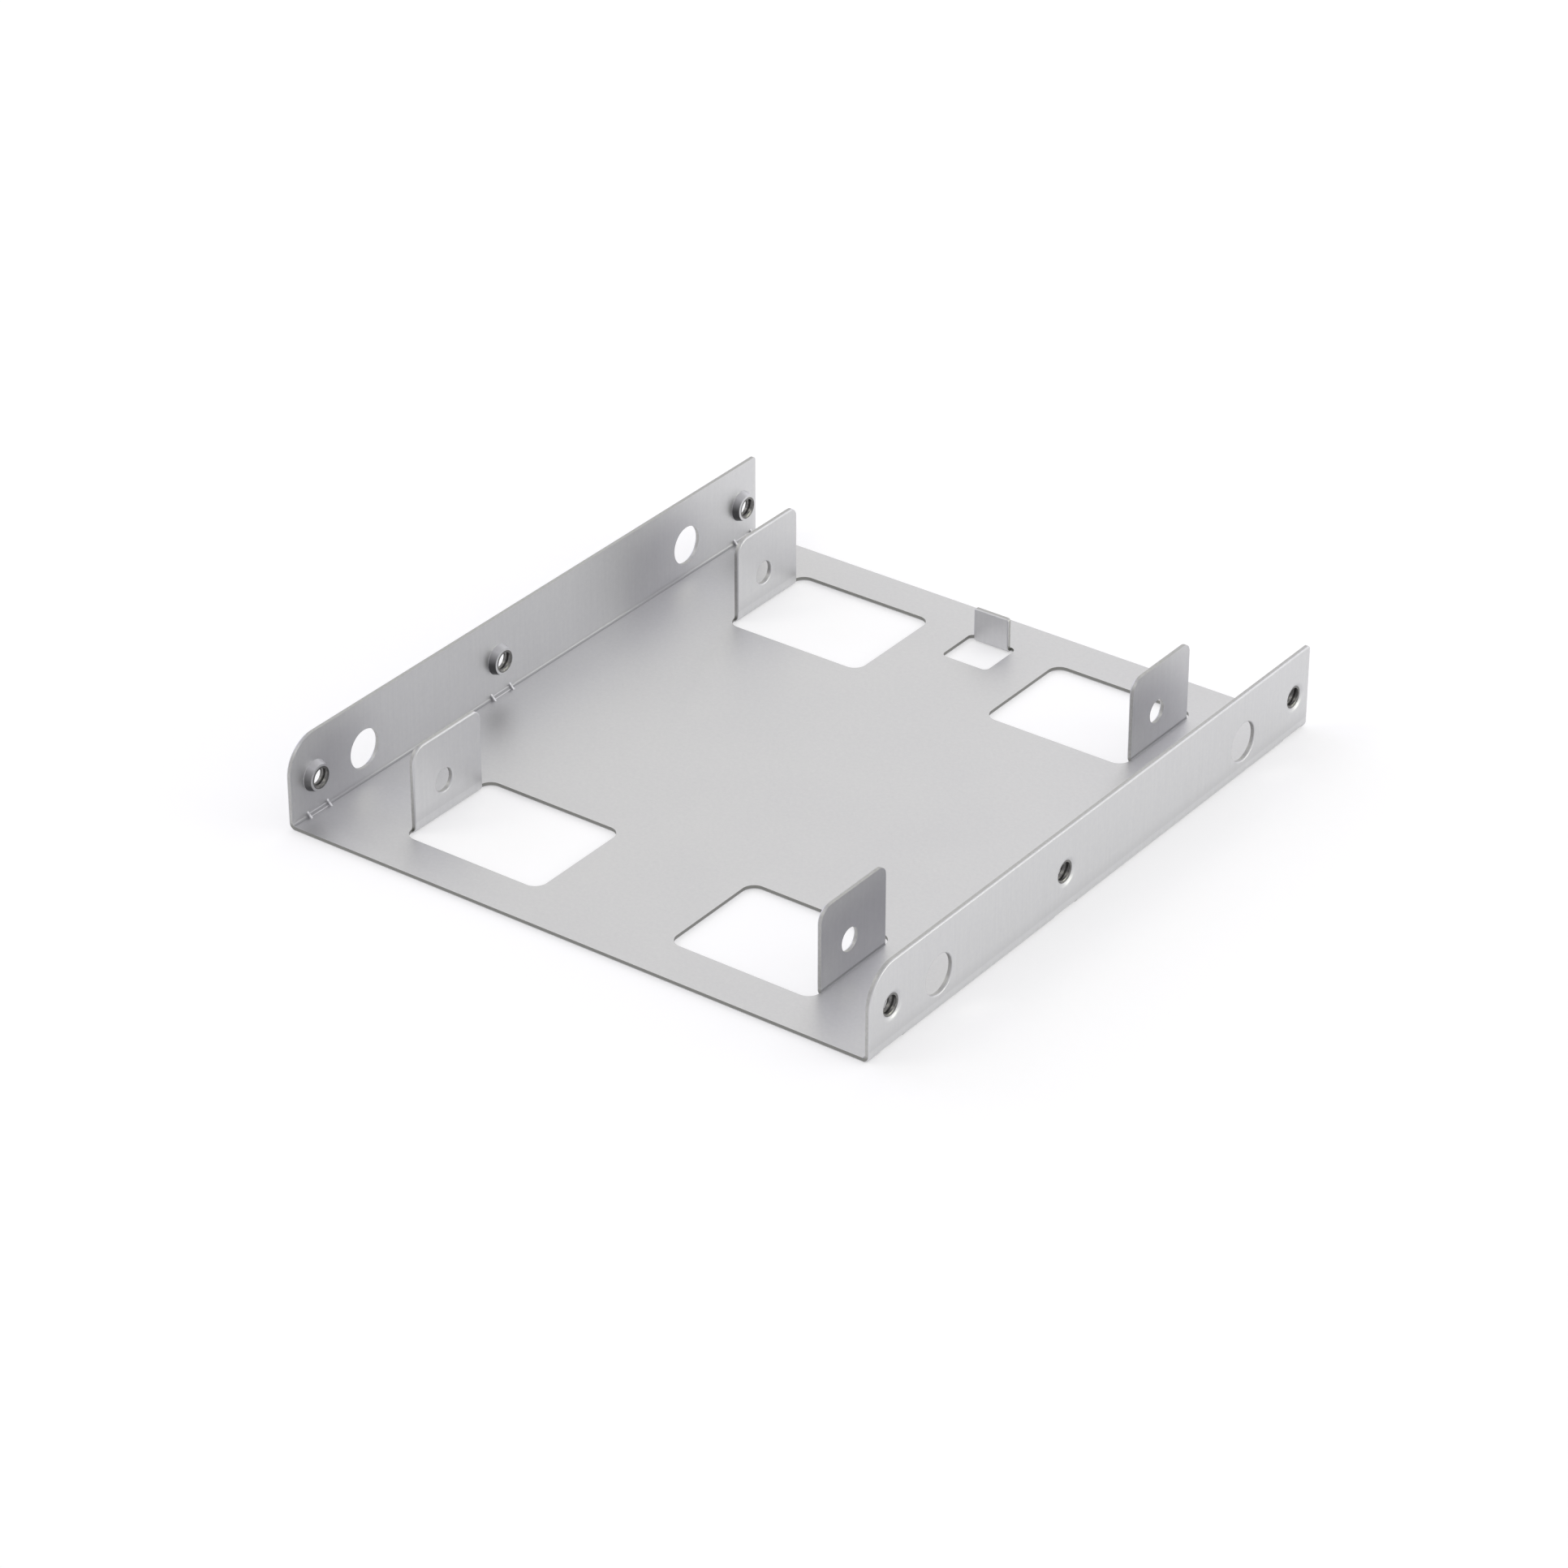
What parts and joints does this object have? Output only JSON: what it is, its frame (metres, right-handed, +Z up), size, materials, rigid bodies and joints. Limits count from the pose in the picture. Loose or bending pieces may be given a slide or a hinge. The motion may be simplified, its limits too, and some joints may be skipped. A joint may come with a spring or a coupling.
{
  "type": "drive bay adapter bracket",
  "caption": "Folded sheet steel tray with side flanges and folded-up ears, which mounts a 2.5 inch drive in a 3.5 inch drive bay.",
  "frame": {"origin": "centre of the plate's underside, on the surface that the bracket rests on", "axes": "+Z up, +Y along the tray from the front with the large rounds to the rear with the stop, +X to the right seen from the front"},
  "size_m": [0.1016, 0.1106, 0.0138],
  "materials": {
    "plated_sheet": "satin, zinc plated"
  },
  "bodies": {
    "root": {"folded_bracket": "plated_sheet"}
  },
  "joints": []
}
